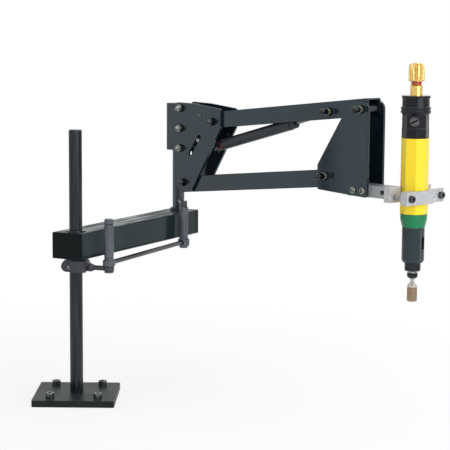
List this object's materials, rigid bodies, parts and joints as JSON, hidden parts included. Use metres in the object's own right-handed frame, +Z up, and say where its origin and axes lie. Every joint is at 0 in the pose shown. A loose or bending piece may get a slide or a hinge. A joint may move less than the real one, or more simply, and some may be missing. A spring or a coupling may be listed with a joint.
{
  "type": "torque reaction arm",
  "caption": "Post-mounted torque reaction arm with a swinging beam, parallel lifting arms, a gas spring and a clamped air screwdriver.",
  "frame": {"origin": "centre of the base plate's underside, on the post's axis", "axes": "+Z up along the post, +X along the plate's front edge to the right, +Y away from the picture's viewer; the base plate is square to X and Y"},
  "size_m": [0.61, 0.446, 0.5372],
  "materials": {
    "graphite_paint": "satin",
    "dark_paint": "satin",
    "dark_steel": "satin",
    "grey_steel": "satin",
    "black_steel": "satin",
    "zinc_steel": "satin",
    "bronze": "satin",
    "bare_aluminium": "satin",
    "brass": "satin",
    "red_paint": "satin",
    "yellow_shell": "gloss",
    "green_ring": "gloss",
    "black_shell": "gloss",
    "grey_shell": "satin",
    "bronze_socket": "satin"
  },
  "bodies": {
    "base": {"base_plate": "dark_paint", "post": "dark_steel", "base_screws": "black_steel"},
    "collar": {"collar_front": "graphite_paint", "collar_rear": "graphite_paint", "collar_screws": "zinc_steel", "crank_rod": "graphite_paint", "crank_foot": "graphite_paint", "crank_pin": "dark_steel"},
    "tie_link": {"near_barrel": "grey_steel", "near_rod_eye": "grey_steel", "tie_rod": "dark_steel"},
    "beam": {"beam_tube": "graphite_paint", "beam_end_caps": "black_steel", "bearing_tubes": "dark_steel", "post_bushes": "bronze", "elbow_bushes": "bronze"},
    "elbow": {"elbow_shaft": "dark_steel", "shaft_rings": "zinc_steel", "elbow_crank": "graphite_paint", "hanger_pin": "dark_steel", "shaft_block": "graphite_paint", "elbow_near_plate": "graphite_paint", "elbow_far_plate": "graphite_paint", "block_bolts": "zinc_steel", "plate_spacer": "zinc_steel", "spring_anchor": "red_paint", "anchor_screws": "zinc_steel", "elbow_pivot_bolts": "zinc_steel", "elbow_pivot_nuts": "zinc_steel"},
    "far_link": {"far_barrel": "grey_steel", "far_rod_eye": "grey_steel"},
    "upper": {"upper_arm": "graphite_paint", "upper_arm_bushes": "bronze", "spring_top_bolt": "zinc_steel"},
    "lower": {"lower_arm": "graphite_paint", "lower_arm_bushes": "bronze"},
    "cylinder": {"spring_cylinder": "grey_steel"},
    "piston_rod": {"spring_rod": "dark_steel"},
    "head": {"head_near_plate": "graphite_paint", "head_far_plate": "graphite_paint", "head_pivot_bolts": "zinc_steel", "holder_bar": "bare_aluminium", "holder_screws": "zinc_steel", "rear_jaw": "bare_aluminium", "front_jaw": "bare_aluminium", "clamp_screws": "black_steel", "driver_body": "yellow_shell", "driver_head": "black_shell", "inlet_stem": "brass", "clutch_ring": "green_ring", "nose_housing": "grey_shell", "nose_collar": "dark_steel", "air_motor": "dark_steel", "gear_unit": "dark_steel"},
    "coupler": {"coupler_sleeve": "brass"},
    "knob": {"selector_knob": "grey_shell"},
    "chuck": {"chuck_sleeve": "dark_steel"},
    "spindle": {"drive_spindle": "zinc_steel", "bit_socket": "bronze_socket"}
  },
  "joints": [
    {"name": "collar_height", "type": "slide", "parent": "base", "child": "collar", "axis": [0, 0, 1], "range_m": [-0.1, 0.14]},
    {"name": "beam_swing", "type": "hinge", "parent": "collar", "child": "beam", "pos_m": [0, 0, 0.238], "axis": [0, 0, 1], "range_deg": [-35, 5]},
    {"name": "elbow_turn", "type": "hinge", "parent": "beam", "child": "elbow", "pos_m": [0.14432, 0.27605, 0.238], "axis": [0, 0, 1], "range_deg": [-5.1, 35.1]},
    {"name": "tie_link_turn", "type": "hinge", "parent": "collar", "child": "tie_link", "pos_m": [0.05162, -0.01747, 0.2123], "axis": [0, 0, 1], "range_deg": [-43.4, 6.3]},
    {"name": "far_barrel_turn", "type": "hinge", "parent": "elbow", "child": "far_link", "pos_m": [0.15547, 0.21405, 0.2123], "axis": [0, 0, 1], "range_deg": [-43.4, 6.3]},
    {"name": "arm_lift", "type": "hinge", "parent": "elbow", "child": "upper", "pos_m": [0.21607, 0.20175, 0.4128], "axis": [-0.7193, -0.6947, 0], "range_deg": [-25, 22]},
    {"name": "lower_arm_turn", "type": "hinge", "parent": "elbow", "child": "lower", "pos_m": [0.16759, 0.25195, 0.309], "axis": [-0.7193, -0.6947, 0], "range_deg": [-25.1, 22.1]},
    {"name": "head_level", "type": "hinge", "parent": "upper", "child": "head", "pos_m": [0.43893, -0.02903, 0.44765], "axis": [-0.7193, -0.6947, 0], "range_deg": [-22.1, 25.1]},
    {"name": "cylinder_tilt", "type": "hinge", "parent": "elbow", "child": "cylinder", "pos_m": [0.21156, 0.20642, 0.372], "axis": [-0.7193, -0.6947, 0], "range_deg": [-23.6, 20.78]},
    {"name": "piston_travel", "type": "slide", "parent": "cylinder", "child": "piston_rod", "axis": [0.6713, -0.6952, 0.2569], "range_m": [-0.0164, 0.0145]},
    {"name": "coupler_pull", "type": "slide", "parent": "head", "child": "coupler", "axis": [0, 0, -1], "range_m": [0, 0.003]},
    {"name": "selector_turn", "type": "hinge", "parent": "head", "child": "knob", "pos_m": [0.49999, -0.09226, 0.4343], "axis": [-0.1908, -0.9816, 0], "range_deg": [-60, 60]},
    {"name": "chuck_pull", "type": "slide", "parent": "head", "child": "chuck", "axis": [0, 0, 1], "range_m": [0, 0.0018]},
    {"name": "spindle_spin", "type": "hinge", "parent": "head", "child": "spindle", "pos_m": [0.49999, -0.09226, 0.23], "axis": [0, 0, -1], "continuous": true}
  ],
  "couplings": [
    {"joint": "elbow_turn", "follows": "beam_swing", "ratio": -1},
    {"joint": "tie_link_turn", "follows": "beam_swing", "ratio": 1.2345},
    {"joint": "far_barrel_turn", "follows": "beam_swing", "ratio": 1.2345},
    {"joint": "lower_arm_turn", "follows": "arm_lift", "ratio": 1},
    {"joint": "head_level", "follows": "arm_lift", "ratio": -1},
    {"joint": "cylinder_tilt", "follows": "arm_lift", "ratio": 0.94},
    {"joint": "piston_travel", "follows": "arm_lift", "m_per_rad": 0.0372}
  ]
}
